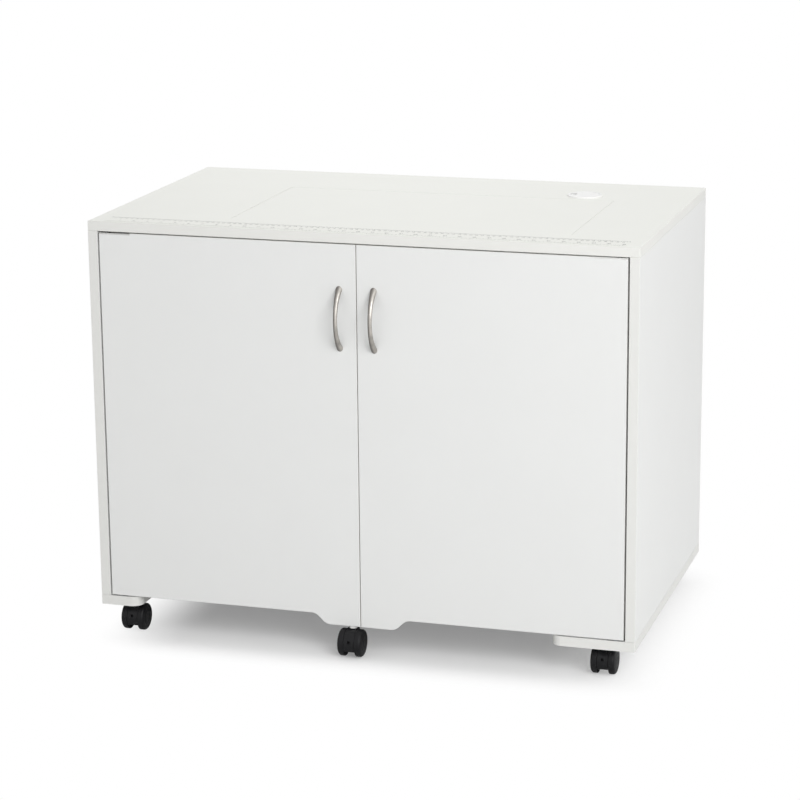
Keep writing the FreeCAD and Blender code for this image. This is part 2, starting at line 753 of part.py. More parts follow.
def make_rack():
    """Rack of shallow trays on the back of the left door: two sides, shelves, and a lip on each shelf."""
    sides = [
        board(f"rack_side_{name}", ("rack_board", "rack_depth", "rack_height"),
              (left, "door_back_y", "rack_bottom"))
        for name, left in (("outer", "rack_left"), ("inner", "rack_right - rack_board"))
    ]
    group("rack_sides", sides)
    shelves, lips = [], []
    for number in range(RACK_SHELVES):
        low = f"rack_bottom + rack_height * {number} / {RACK_SHELVES}"
        left = "rack_left + rack_board"
        shelves.append(board(f"rack_shelf_{number}", ("rack_inner_width", "rack_depth", "rack_board"),
                             (left, "door_back_y", low)))
        lips.append(board(f"rack_lip_{number}", ("rack_inner_width", "rack_lip_thickness", "rack_lip_height"),
                          (left, "door_back_y + rack_depth - rack_lip_thickness", f"{low} + rack_board")))
    group("rack_shelves", shelves)
    group("rack_lips", lips)


def make_guide_posts():
    """Tubular posts behind the opening, held by flanges, with the collars that the lift rests on."""
    posts, flanges, collars = [], [], []
    for side, sign in (("left", "-"), ("right", "+")):
        middle = (f"opening_middle {sign} post_pitch / 2", "post_y")
        post = new_body(f"guide_post_{side}")
        rod(post, "post_radius", "inner_height", (*middle, "base_top"))
        rod(post, "post_radius - post_wall", "inner_height + 2 * cut_overrun",
            (*middle, "base_top - cut_overrun"), cut=True)
        posts.append(post)
        rings = (
            (flanges, f"post_flange_{side}_low", "post_flange_radius", "post_flange_thickness", "base_top"),
            (flanges, f"post_flange_{side}_high", "post_flange_radius", "post_flange_thickness",
             "top_underside - post_flange_thickness"),
            (collars, f"stop_collar_{side}", "stop_collar_radius", "stop_collar_height",
             "carriage_bottom - stop_collar_height"),
        )
        for pieces, label, radius, height, low in rings:
            ring = new_body(label)
            rod(ring, radius, height, (*middle, low))
            rod(ring, "post_radius", f"{height} + 2 * cut_overrun",
                (*middle, f"{low} - cut_overrun"), cut=True)
            pieces.append(ring)
    group("guide_posts", posts)
    group("post_flanges", flanges)
    group("stop_collars", collars)


def make_carriage():
    """Lift platform on two brackets, with the carriage plate and bearings that run on the posts."""
    keep(board("lift_platform", ("platform_width", "platform_depth", "platform_thickness"),
               ("platform_x", "platform_y", "platform_bottom")))
    keep(board("carriage_plate",
               ("carriage_plate_width", "carriage_plate_thickness", "rod_block_top - carriage_bottom"),
               ("opening_middle - carriage_plate_width / 2", "carriage_y", "carriage_bottom"), eased=False))
    bearings, brackets = [], []
    for side, sign in (("left", "-"), ("right", "+")):
        middle_x = f"opening_middle {sign} post_pitch / 2"
        bearing = new_body(f"carriage_bearing_{side}")
        box(bearing, ("bearing_size", "bearing_size", "bearing_height"),
            (f"{middle_x} - bearing_size / 2", "bearing_y", "carriage_bottom"))
        rod(bearing, "post_radius + bearing_clearance", "bearing_height + 2 * cut_overrun",
            (middle_x, "post_y", "carriage_bottom - cut_overrun"), cut=True)
        bearings.append(bearing)
        bracket = new_body(f"platform_bracket_{side}")
        tip = "platform_y + bracket_tip_inset"
        pad_outline(bracket, "YZ_Plane", [
            ("carriage_y", "platform_bottom"), ("carriage_y", "carriage_bottom"),
            (tip, "platform_bottom - bracket_tip_depth"), (tip, "platform_bottom"),
        ], "bracket_thickness")
        place(bracket, (f"opening_middle {sign} bracket_pitch / 2 - bracket_thickness / 2", "0", "0"))
        brackets.append(bracket)
    group("carriage_bearings", bearings)
    group("platform_brackets", brackets)


def make_gas_spring():
    """Gas spring that carries the lift: foot and cylinder on the base, rod and end block on the carriage."""
    foot = board("gas_spring_foot", ("gas_foot_size", "gas_foot_size", "gas_foot_height"),
                 ("opening_middle - gas_foot_size / 2", "post_y - gas_foot_size / 2", "base_top"))
    keep(foot)
    middle = ("opening_middle", "post_y")
    cylinder = new_body("gas_spring_cylinder")
    chamber_low = "gas_bottom + gas_floor"
    rod(cylinder, "gas_cylinder_radius", "gas_length", (*middle, "gas_bottom"))
    rod(cylinder, "gas_bore_radius", "gas_length - gas_floor - gas_gland_height",
        (*middle, chamber_low), cut=True)
    rod(cylinder, "gas_rod_radius + gas_rod_clearance", "gas_length", (*middle, chamber_low), cut=True)
    keep(cylinder)
    piston_rod = new_body("gas_spring_rod")
    rod(piston_rod, "gas_bore_radius - gas_piston_gap", "gas_piston_height", (*middle, "piston_bottom"))
    rod(piston_rod, "gas_rod_radius", "rod_end - piston_bottom", (*middle, "piston_bottom"))
    keep(piston_rod)
    keep(board("rod_end_block",
               ("rod_block_width", "post_y - bearing_y + gas_cylinder_radius", "rod_block_height"),
               ("opening_middle - rod_block_width / 2", "bearing_y", "rod_end"), eased=False))


def make_caster(name, at):
    """Swivelling hood, axle and twin wheels of one caster, trailing towards the front."""
    hood = new_body(f"{name}_caster_hood")
    axle_at = ("-caster_trail", "wheel_radius")
    rod(hood, "hood_radius", "hood_width", ("-hood_width / 2", *axle_at), along="x")
    box(hood, ("hood_width", "hub_depth", "hood_top - wheel_radius"),
        ("-hood_width / 2", "-hub_depth / 2", "wheel_radius"))
    box(hood, ("hood_width + 2 * cut_overrun", "2 * hood_radius + 2 * cut_overrun",
               "hood_floor_gap - hood_recess + cut_overrun"),
        ("-hood_width / 2 - cut_overrun", "-caster_trail - hood_radius - cut_overrun",
         "hood_recess - cut_overrun"), cut=True)
    rod(hood, "caster_stem_radius + running_clearance", "hood_top - stem_bottom + pin_end_gap + cut_overrun",
        ("0", "0", "stem_bottom - pin_end_gap"), cut=True)
    rod(hood, "axle_radius + running_clearance", "hood_width + 2 * cut_overrun",
        ("-hood_width / 2 - cut_overrun", *axle_at), along="x", cut=True)
    window_y = "-caster_trail - hood_radius - cut_overrun"
    box(hood, ("hood_window", "hood_window_depth + cut_overrun", "hood_window"),
        ("-hood_window / 2", window_y, "wheel_radius + hood_window_rise"), cut=True)
    place(hood, (*at, "0"))
    keep(hood)

    axle = new_body(f"{name}_caster_axle")
    rod(axle, "axle_radius", "wheel_gap + 2 * axle_seat", ("-wheel_gap / 2 - axle_seat", *axle_at), along="x")
    place(axle, (*at, "0"))
    keep(axle)

    wheels = []
    for side, inner_face, outer_face in (
        ("left", "-wheel_gap / 2", "-wheel_gap / 2 - wheel_width"),
        ("right", "wheel_gap / 2", "wheel_gap / 2 + wheel_width"),
    ):
        wheel = new_body(f"{name}_caster_wheel_{side}")
        low_face, bore_low = outer_face, "-wheel_gap / 2 - axle_seat"
        if side == "right":
            low_face, bore_low = inner_face, "wheel_gap / 2 - cut_overrun"
        rod(wheel, "wheel_radius", "wheel_width", (low_face, *axle_at), along="x")
        ease(wheel, "wheel_outer_round", circle_at("x", value(outer_face)))
        ease(wheel, "wheel_inner_round", circle_at("x", value(inner_face)))
        rod(wheel, "axle_radius", "axle_seat + cut_overrun", (bore_low, *axle_at), along="x", cut=True)
        place(wheel, (*at, "0"))
        wheels.append(wheel)
    group(f"{name}_caster_wheels", wheels)


def make_caster_plates():
    """Plates under the base, each with the stem that its hood swivels on, and their screws."""
    plates, screws = [], []
    for name, (across, along) in caster_spots().items():
        plate = new_body(f"{name}_caster_plate")
        box(plate, ("caster_plate_size", "caster_plate_size", "caster_plate_thickness"),
            (f"{across} - caster_plate_size / 2", f"{along} - caster_plate_size / 2", "caster_plate_bottom"))
        rod(plate, "caster_stem_radius", "caster_height - stem_bottom", (across, along, "stem_bottom"))
        for number, (screw_x, screw_y) in enumerate(plate_screw_spots(across, along)):
            taper = ("caster_screw_head_radius", "caster_screw_radius", "caster_plate_thickness",
                     (screw_x, screw_y, "caster_plate_bottom"))
            cone(plate, *taper, cut=True)
            screw = new_body(f"{name}_caster_screw_{number}")
            cone(screw, *taper)
            rod(screw, "caster_screw_radius", "caster_screw_reach", (screw_x, screw_y, "caster_height"))
            screws.append(screw)
        plates.append(plate)
    group("caster_plates", plates)
    group("caster_screws", screws)


def make_door_caster_mount():
    """Flanged socket in the left door's skirt, and the stem of the caster that it holds."""
    middle = ("-door_caster_from_seam", "door_middle_y")
    socket = new_body("door_caster_socket")
    rod(socket, "socket_flange_radius", "caster_height - socket_bottom", (*middle, "socket_bottom"))
    rod(socket, "socket_radius", "socket_depth", (*middle, "caster_height"))
    rod(socket, "caster_stem_radius", "caster_height - socket_bottom + socket_stem_depth + cut_overrun",
        (*middle, "socket_bottom - cut_overrun"), cut=True)
    keep(socket)
    stem = new_body("door_caster_stem")
    rod(stem, "caster_stem_radius", "caster_height + socket_stem_depth - stem_bottom",
        (*middle, "stem_bottom"))
    keep(stem)


def make_doors():
    """Both doors with what is fixed to them."""
    socket_hole = ("socket_radius", "socket_depth + cut_overrun",
                   ("-door_caster_from_seam", "door_thickness / 2", "caster_height - cut_overrun"))
    for side, sign, mortise_depth, holes in (
        ("left", "-", "left_mortise_depth", [socket_hole]),
        ("right", "+", "right_mortise_depth", []),
    ):
        make_door(side, sign, mortise_depth, holes)
        make_door_pivot(side, sign, mortise_depth)
        make_handle(side, sign)
        make_handle_screws(side, sign)


def check_and_write():
    """Stop at any failed object, then write each sub-part to its own file."""
    DOC.recompute()
    failed = [item.Label for item in DOC.Objects if {"Invalid", "Error"} & set(item.State)]
    if failed:
        raise RuntimeError(f"objects failed: {failed}")
    unsound = [node.Label for node in NODES if node.Shape.isNull() or not node.Shape.isValid()]
    if unsound:
        raise RuntimeError(f"shapes not sound: {unsound}")
    os.makedirs("parts", exist_ok=True)
    for node in NODES:
        node.Shape.exportStep(f"parts/{node.Label}.step")
    print(f"{len(NODES)} nodes written, lift travel {value('lift_travel'):.3f} mm")


fill_sheet()
make_base()
make_sides_and_back()
make_top()
make_lid()
make_partition_and_rail()
make_compartment()
make_measuring_strip()
make_grommet()
make_base_pivots()
make_doors()
make_catches()
make_rack()
make_door_caster_mount()
make_guide_posts()
make_carriage()
make_gas_spring()
make_caster_plates()
for caster_name, caster_place in caster_spots().items():
    make_caster(caster_name, caster_place)
make_caster("door", ("-door_caster_from_seam", "door_middle_y"))
check_and_write()
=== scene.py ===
import bmesh
import bpy
import math
import numpy as np
from mathutils import Matrix, Vector


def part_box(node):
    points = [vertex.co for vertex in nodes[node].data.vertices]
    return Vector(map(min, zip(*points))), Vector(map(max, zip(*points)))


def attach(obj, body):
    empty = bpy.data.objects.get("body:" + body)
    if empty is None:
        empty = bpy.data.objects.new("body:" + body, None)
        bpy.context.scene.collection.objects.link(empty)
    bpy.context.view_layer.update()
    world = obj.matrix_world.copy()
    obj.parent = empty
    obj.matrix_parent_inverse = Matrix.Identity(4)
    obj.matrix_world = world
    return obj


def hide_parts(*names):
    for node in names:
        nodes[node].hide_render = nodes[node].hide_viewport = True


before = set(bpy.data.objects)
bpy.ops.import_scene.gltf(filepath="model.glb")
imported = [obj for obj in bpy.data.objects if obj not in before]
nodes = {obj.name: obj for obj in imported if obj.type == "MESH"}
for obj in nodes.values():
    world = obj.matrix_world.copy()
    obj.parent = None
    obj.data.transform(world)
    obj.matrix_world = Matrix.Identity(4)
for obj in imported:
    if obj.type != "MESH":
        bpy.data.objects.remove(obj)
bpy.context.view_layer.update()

# Boards of the carcass, the doors, the rack and the lift's platform: particle board faced with white
# melamine, cut to size and screwed together. Their cut edges carry a thin, slightly warmer plastic band that
# is glued on and scraped flush.


def feed(tree, node, values):
    """Give a node's sockets their values: a link where the value is a socket, a constant otherwise."""
    for socket, value in dict(values).items():
        if isinstance(value, bpy.types.NodeSocket):
            tree.links.new(value, node.inputs[socket])
        else:
            node.inputs[socket].default_value = value
    return node


def add_node(tree, kind, values=(), **settings):
    """A new node with its settings made and its sockets fed."""
    node = tree.nodes.new(kind)
    for name, setting in settings.items():
        setattr(node, name, setting)
    return feed(tree, node, values)


def calc(tree, operation, *terms, clamp=False):
    """The result of one arithmetic step on values or sockets."""
    return add_node(tree, "ShaderNodeMath", enumerate(terms), operation=operation, use_clamp=clamp).outputs[0]


def ramp(tree, value, low, high, first=0.0, last=1.0):
    """A smooth step from first to last while the value goes from low to high."""
    node = add_node(tree, "ShaderNodeMapRange", {0: value, 1: low, 2: high, 3: first, 4: last},
                    interpolation_type="SMOOTHSTEP")
    return node.outputs[0]


def mix_colours(tree, share, first, second):
    """The first colour going over to the second by a share."""
    return add_node(tree, "ShaderNodeMix", {0: share, 6: first, 7: second}, data_type="RGBA").outputs[2]


def noise(tree, place, scale, detail=2.0, roughness=0.5):
    """Soft random values about one half, with so many features in a metre."""
    node = add_node(tree, "ShaderNodeTexNoise",
                    {"Vector": place, "Scale": scale, "Detail": detail, "Roughness": roughness})
    return node.outputs[0]


def new_group(name, inputs, outputs):
    """An empty shader group with named sockets: its tree, the sockets that come in and those that go out."""
    tree = bpy.data.node_groups.new(name, "ShaderNodeTree")
    for direction, sockets in (("INPUT", inputs), ("OUTPUT", outputs)):
        for label, kind in sockets.items():
            tree.interface.new_socket(label, in_out=direction, socket_type=f"NodeSocket{kind}")
    return tree, tree.nodes.new("NodeGroupInput").outputs, tree.nodes.new("NodeGroupOutput")


SKIN_OUTPUTS = {"Colour": "Color", "Roughness": "Float", "Height": "Float"}


def board_skin():
    """Melamine: faint clouds and a fine pebble on the faces, a warmer band on the edges, a glue line between.

    The share of face is how far the surface's direction lies along the board's thickness.
    """
    tree, given, out = new_group("board skin", {"Face": "Color", "Band": "Color", "Thickness": "Vector"},
                                 SKIN_OUTPUTS)
    place = add_node(tree, "ShaderNodeTexCoord")
    along = add_node(tree, "ShaderNodeVectorMath", {0: place.outputs["Normal"], 1: given["Thickness"]},
                     operation="DOT_PRODUCT").outputs["Value"]
    share = calc(tree, "ABSOLUTE", along)
    face = ramp(tree, share, 0.45, 0.75)
    glue = calc(tree, "MULTIPLY", ramp(tree, share, 0.30, 0.55), ramp(tree, share, 0.62, 0.90, 1.0, 0.0))
    clouds = noise(tree, place.outputs["Object"], 9.0, 4.0)
    pebble = noise(tree, place.outputs["Object"], 1100.0, 2.0)
    grain = noise(tree, place.outputs["Object"], 260.0, 3.0)
    plain = mix_colours(tree, face, given["Band"], given["Face"])
    clouded = mix_colours(tree, ramp(tree, clouds, 0.25, 0.75, 0.0, 0.035), plain, (0.62, 0.62, 0.60, 1.0))
    lined = mix_colours(tree, calc(tree, "MULTIPLY", glue, 0.35), clouded, (0.48, 0.46, 0.42, 1.0))
    rough = calc(tree, "ADD", ramp(tree, grain, 0.2, 0.8, 0.40, 0.50), calc(tree, "MULTIPLY", clouds, 0.05))
    feed(tree, out, {"Colour": lined, "Roughness": rough, "Height": calc(tree, "ADD", pebble, clouds)})
    return tree


def skin(name, group, settings, bump, **surface):
    """A material whose colour, roughness and relief come from a group, with its other values constant."""
    material = bpy.data.materials.new(name)
    material.use_nodes = True
    tree = material.node_tree
    effect = add_node(tree, "ShaderNodeGroup", node_tree=group)
    feed(tree, effect, settings)
    relief = add_node(tree, "ShaderNodeBump", {"Height": effect.outputs["Height"], "Distance": bump})
    feed(tree, tree.nodes["Principled BSDF"],
         {"Base Color": effect.outputs["Colour"], "Roughness": effect.outputs["Roughness"],
          "Normal": relief.outputs["Normal"], **surface})
    return material


def dress(names, material):
    """Give a material to every slot of the CAD nodes named."""
    for name in names:
        slots = nodes[name].data.materials
        for index in range(max(len(slots), 1)):
            if index < len(slots):
                slots[index] = material
            else:
                slots.append(material)


laminate = board_skin()
WHITE_FACE = (0.80, 0.805, 0.795, 1.0)
WHITE_BAND = (0.77, 0.77, 0.745, 1.0)
LAMINATE_RELIEF = 0.00002
BOARDS = {
    (1.0, 0.0, 0.0): ("left_side_panel", "right_side_panel", "partition_panel", "rack_sides"),
    (0.0, 1.0, 0.0): ("back_panel", "front_rail", "left_door", "right_door", "rack_lips"),
    (0.0, 0.0, 1.0): ("base_panel", "compartment_shelves", "shelf_cleats", "lid_cleats", "rack_shelves",
                      "lift_platform"),
}
for thickness, names in BOARDS.items():
    label = "XYZ"[thickness.index(1.0)]
    dress(names, skin(f"white laminate {label}", laminate,
                      {"Face": WHITE_FACE, "Band": WHITE_BAND, "Thickness": thickness}, LAMINATE_RELIEF))

# Top panel and lid: the same board in a slightly warmer, tougher laminate.
# The lid drops into the machine opening and lies flush, so only its seam shows.
TOP_FACE = (0.820, 0.826, 0.785, 1.0)
TOP_BAND = (0.79, 0.79, 0.76, 1.0)
dress(("top_panel", "lid_panel"),
      skin("top laminate", laminate, {"Face": TOP_FACE, "Band": TOP_BAND, "Thickness": (0.0, 0.0, 1.0)},
           LAMINATE_RELIEF))

# Measuring strip: a printed film stuck along the front of the top, with centimetres along its
# rear edge and inches along its front edge, both from the left end.
FILM = (0.80, 0.805, 0.76, 1.0)
INK = (0.07, 0.072, 0.066, 1.0)
FILM_RELIEF = 0.00001
CENTIMETRE, INCH = 0.010, 0.0254
STRIP_BORDER = 0.0010
FINE_LINE, BOLD_LINE = 0.00011, 0.00022
CENTIMETRE_MARKS = ((CENTIMETRE / 10, 0.0032, FINE_LINE), (CENTIMETRE / 2, 0.0046, BOLD_LINE),
                    (CENTIMETRE, 0.0062, BOLD_LINE))
INCH_MARKS = ((INCH / 16, 0.0030, FINE_LINE), (INCH / 8, 0.0040, FINE_LINE), (INCH / 4, 0.0050, BOLD_LINE),
              (INCH / 2, 0.0060, BOLD_LINE), (INCH, 0.0080, BOLD_LINE))
strip_low, strip_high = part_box("measuring_strip")


def tick_row():
    """Marks at an even pitch: one where the distance to the nearest multiple of the pitch is under half a
    line's width and the distance from the edge is under the mark's length."""
    tree, given, out = new_group("tick row", {"Along": "Float", "From Edge": "Float", "Pitch": "Float",
                                              "Length": "Float", "Line": "Float"}, {"Mask": "Float"})
    steps = calc(tree, "DIVIDE", given["Along"], given["Pitch"])
    off = calc(tree, "ABSOLUTE", calc(tree, "SUBTRACT", steps, calc(tree, "ROUND", steps)))
    near = calc(tree, "LESS_THAN", calc(tree, "MULTIPLY", off, given["Pitch"]), given["Line"])
    reach = calc(tree, "LESS_THAN", given["From Edge"], given["Length"])
    feed(tree, out, {"Mask": calc(tree, "MULTIPLY", near, reach)})
    return tree


def strip_print():
    """Film with its printed rows and a line along its rear edge: the darkest of all marks at each place."""
    tree, given, out = new_group("strip print", {"Film": "Color", "Ink": "Color"}, SKIN_OUTPUTS)
    row = tick_row()
    place = add_node(tree, "ShaderNodeTexCoord")
    axes = add_node(tree, "ShaderNodeSeparateXYZ", {0: place.outputs["Object"]}).outputs
    along = calc(tree, "SUBTRACT", axes["X"], strip_low.x)
    rear = calc(tree, "SUBTRACT", strip_high.y, axes["Y"])
    front = calc(tree, "SUBTRACT", axes["Y"], strip_low.y)
    marks = 0.0
    for edge, rows in ((rear, CENTIMETRE_MARKS), (front, INCH_MARKS)):
        for pitch, length, line in rows:
            tick = add_node(tree, "ShaderNodeGroup", node_tree=row)
            feed(tree, tick, {"Along": along, "From Edge": edge, "Pitch": pitch, "Length": length,
                              "Line": line})
            marks = calc(tree, "MAXIMUM", marks, tick.outputs["Mask"])
    marks = calc(tree, "MAXIMUM", marks, calc(tree, "LESS_THAN", rear, STRIP_BORDER))
    wear = noise(tree, place.outputs["Object"], 420.0, 3.0)
    inked = calc(tree, "MULTIPLY", marks, ramp(tree, wear, 0.2, 0.6, 0.75, 1.0))
    feed(tree, out, {"Colour": mix_colours(tree, inked, given["Film"], given["Ink"]),
                     "Roughness": ramp(tree, wear, 0.2, 0.8, 0.36, 0.46), "Height": wear})
    return tree


dress(("measuring_strip",), skin("strip film", strip_print(), {"Film": FILM, "Ink": INK}, FILM_RELIEF))

# Numbers of the strip: printed in the same ink, one at each centimetre and each inch, facing the
# sitter in front. Each is a very thin raised print on the film.
PRINT_THICKNESS = 0.00004
DIGIT_PITCH_SHARE = 0.62


def join(name, parts, material, body, crease=None):
    """One mesh from (points, faces) pairs, welded where points meet, its faces turned outward.

    With a crease angle in degrees it is shaded smooth, with sharp edges only where it bends by more.
    """
    counts = np.cumsum([0] + [len(points) for points, _ in parts])
    mesh = bpy.data.meshes.new(name)
    mesh.from_pydata(np.concatenate([points for points, _ in parts]).tolist(), [],
                     np.concatenate([faces + first for (_, faces), first in zip(parts, counts)]).tolist())
    work = bmesh.new()
    work.from_mesh(mesh)
    bmesh.ops.remove_doubles(work, verts=work.verts, dist=1e-7)
    bmesh.ops.recalc_face_normals(work, faces=work.faces)
    work.to_mesh(mesh)
    work.free()
    if crease:
        mesh.shade_smooth()
        mesh.set_sharp_from_angle(angle=math.radians(crease))
    mesh.materials.append(material)
    piece = bpy.data.objects.new(name, mesh)
    bpy.context.scene.collection.objects.link(piece)
    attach(piece, body)
    return piece


def digit_shapes():
    """Points and triangles of the ten digits, one unit high, thin solids with their middle at the origin."""
    shapes = []
    for digit in "0123456789":
        curve = bpy.data.curves.new("digit", "FONT")
        curve.body = digit
        curve.extrude = 0.5
        curve.resolution_u = 2
        holder = bpy.data.objects.new("digit", curve)
        mesh = bpy.data.meshes.new_from_object(holder)
        mesh.calc_loop_triangles()
        points = np.empty(len(mesh.vertices) * 3)
        mesh.vertices.foreach_get("co", points)
        triangles = np.empty(len(mesh.loop_triangles) * 3, int)
        mesh.loop_triangles.foreach_get("vertices", triangles)
        points = points.reshape(-1, 3)
        middle = (points.min(0) + points.max(0)) / 2
        shapes.append(((points - middle) / np.ptp(points[:, 1]), triangles.reshape(-1, 3)))
        bpy.data.objects.remove(holder)
        bpy.data.curves.remove(curve)
        bpy.data.meshes.remove(mesh)
    return shapes


def print_numbers(last, pitch, height, y):
    """The numbers from 1 to the last along the strip, each centred on its mark."""
    parts = []
    for number in range(1, last + 1):
        text = str(number)
        for place, digit in enumerate(text):
            points, triangles = DIGITS[int(digit)]
            x = strip_low.x + number * pitch + (place - (len(text) - 1) / 2) * height * DIGIT_PITCH_SHARE
            flat = points * (height, height, PRINT_THICKNESS / np.ptp(points[:, 2]))
            parts.append((flat + (x, y, strip_high.z + PRINT_THICKNESS / 2), triangles))
    return parts


def moulded_skin():
    """Moulded plastic: a fine spark-eroded grain, faint flow clouds and a little wear in the gloss."""
    tree, given, out = new_group("moulded skin", {"Base": "Color", "Worn": "Color", "Gloss": "Float"},
                                 SKIN_OUTPUTS)
    place = add_node(tree, "ShaderNodeTexCoord").outputs["Object"]
    grain = noise(tree, place, 2600.0, 2.0)
    flow = noise(tree, place, 45.0, 4.0)
    scuffs = ramp(tree, noise(tree, place, 160.0, 5.0, 0.65), 0.52, 0.80)
    colour = mix_colours(tree, calc(tree, "MULTIPLY", scuffs, 0.5), given["Base"], given["Worn"])
    clouded = mix_colours(tree, ramp(tree, flow, 0.3, 0.7, 0.0, 0.18), colour, given["Worn"])
    rough = calc(tree, "ADD", given["Gloss"], calc(tree, "MULTIPLY", calc(tree, "ADD", scuffs, flow), 0.08))
    feed(tree, out, {"Colour": clouded, "Roughness": rough, "Height": grain})
    return tree


moulded = moulded_skin()
DIGITS = digit_shapes()
INK_RELIEF = 0.000004
ink = skin("strip ink", moulded, {"Base": INK, "Worn": (0.22, 0.225, 0.21, 1.0), "Gloss": 0.40}, INK_RELIEF)
strip_length = strip_high.x - strip_low.x
CM_HEIGHT, CM_INSET, CM_FREE_END = 0.0042, 0.0072, 0.5
INCH_HEIGHT, INCH_INSET, INCH_FREE_END = 0.0055, 0.0090, 0.2
last_cm = int(strip_length / CENTIMETRE - CM_FREE_END)
last_inch = int(strip_length / INCH - INCH_FREE_END)
join("ruler_numbers",
     print_numbers(last_cm, CENTIMETRE, CM_HEIGHT, strip_high.y - CM_INSET - CM_HEIGHT / 2)
     + print_numbers(last_inch, INCH, INCH_HEIGHT, strip_low.y + INCH_INSET + INCH_HEIGHT / 2),
     ink, "carcass")

# Cable grommet: a white moulded ring pressed into the top, with a cap that turns in it. The cap's notch
# takes a cord.
PLASTIC_RELIEF = 0.00002
white_plastic = skin("white plastic", moulded,
                     {"Base": (0.86, 0.86, 0.85, 1.0), "Worn": (0.78, 0.78, 0.76, 1.0), "Gloss": 0.28},
                     PLASTIC_RELIEF)
dress(("grommet_ring", "grommet_cap"), white_plastic)

# Machine lift: zinc plated posts, flanges and stop collars, a powder coated carriage with nylon bearings,
# and a gas spring with a lacquered cylinder and a chromed rod. It stands on the base, and its posts are
# held by flanges in the base and the top.


def metal_skin():
    """Metal: fine brushing drawn out along one direction, soft clouds of tarnish and a changing gloss.

    Where a lit direction is given, the sides that face away from it are darkened towards the dull colour as
    painted shade.
    """
    tree, given, out = new_group("metal skin", {"Base": "Color", "Dull And Shade": "Color", "Gloss": "Float",
                                                "Stretch": "Vector", "Lit Direction": "Vector"}, SKIN_OUTPUTS)
    coordinates = add_node(tree, "ShaderNodeTexCoord").outputs
    place = coordinates["Object"]
    drawn = add_node(tree, "ShaderNodeVectorMath", {0: place, 1: given["Stretch"]},
                     operation="MULTIPLY").outputs[0]
    facing = add_node(tree, "ShaderNodeVectorMath", {0: coordinates["Normal"], 1: given["Lit Direction"]},
                      operation="DOT_PRODUCT").outputs["Value"]
    asked = add_node(tree, "ShaderNodeVectorMath", {0: given["Lit Direction"]},
                     operation="LENGTH").outputs["Value"]
    brushing = noise(tree, drawn, 1.0, 3.0, 0.6)
    clouds = noise(tree, place, 60.0, 4.0)
    # Painted shade on the sides turned away from the given direction, together with real clouds of tarnish.
    tarnish_and_shade = calc(tree, "MAXIMUM", ramp(tree, clouds, 0.35, 0.75, 0.0, 0.6),
                calc(tree, "MULTIPLY", asked, ramp(tree, facing, 0.30, 0.95, 1.0, 0.0)))
    colour = mix_colours(tree, tarnish_and_shade, given["Base"], given["Dull And Shade"])
    streaked = mix_colours(tree, ramp(tree, brushing, 0.35, 0.65, 0.0, 0.25), colour, given["Dull And Shade"])
    uneven = calc(tree, "MULTIPLY", calc(tree, "ADD", brushing, clouds), 0.08)
    rough = calc(tree, "ADD", given["Gloss"], uneven)
    feed(tree, out, {"Colour": streaked, "Roughness": rough, "Height": brushing})
    return tree


metal = metal_skin()
METAL_RELIEF, PAINT_RELIEF, POLISH_RELIEF = 0.00001, 0.00004, 0.000004
EVEN_GRAIN = (1500.0, 1500.0, 1500.0)
UPRIGHT_BRUSHING = (3500.0, 3500.0, 60.0)
zinc = skin("zinc plate", metal,
            {"Base": (0.66, 0.67, 0.68, 1.0), "Dull And Shade": (0.50, 0.51, 0.53, 1.0), "Gloss": 0.24,
             "Stretch": EVEN_GRAIN}, METAL_RELIEF, Metallic=1.0)
grey_paint = skin("grey powder coat", moulded,
                  {"Base": (0.36, 0.37, 0.38, 1.0), "Worn": (0.42, 0.43, 0.44, 1.0), "Gloss": 0.40},
                  PAINT_RELIEF)
black_paint = skin("black lacquer", moulded,
                   {"Base": (0.03, 0.03, 0.032, 1.0), "Worn": (0.06, 0.06, 0.062, 1.0), "Gloss": 0.22},
                   METAL_RELIEF)
chrome = skin("hard chrome", metal,
              {"Base": (0.80, 0.80, 0.80, 1.0), "Dull And Shade": (0.72, 0.72, 0.73, 1.0), "Gloss": 0.06,
               "Stretch": UPRIGHT_BRUSHING}, POLISH_RELIEF, Metallic=1.0)
grey_nylon = skin("grey nylon", moulded,
                  {"Base": (0.27, 0.27, 0.28, 1.0), "Worn": (0.33, 0.33, 0.34, 1.0), "Gloss": 0.38},
                  PLASTIC_RELIEF)
dress(("guide_posts", "post_flanges", "stop_collars"), zinc)
dress(("carriage_plate", "platform_brackets", "gas_spring_foot", "rod_end_block"), grey_paint)
dress(("gas_spring_cylinder",), black_paint)
dress(("gas_spring_rod",), chrome)
dress(("carriage_bearings",), grey_nylon)

# Lift screws: zinc plated pan heads with a cross recess, driven through the lift's flanges and foot into
# the boards, and through its carriage into the bearings.
PAN_HEIGHT, RIM_SHARE = 0.0016, 0.35
RECESS_DEPTH, BAR_HALF_WIDTH, BAR_SLOPE, BAR_REACH, BAR_END = 0.0011, 0.17, 0.05, 0.58, 0.10


def grid_faces(rows, columns):
    """Quads between neighbours of a grid of points numbered row by row."""
    index = np.arange(rows * columns).reshape(rows, columns)
    return np.stack([index[:-1, :-1], index[:-1, 1:], index[1:, 1:], index[1:, :-1]], -1).reshape(-1, 4)


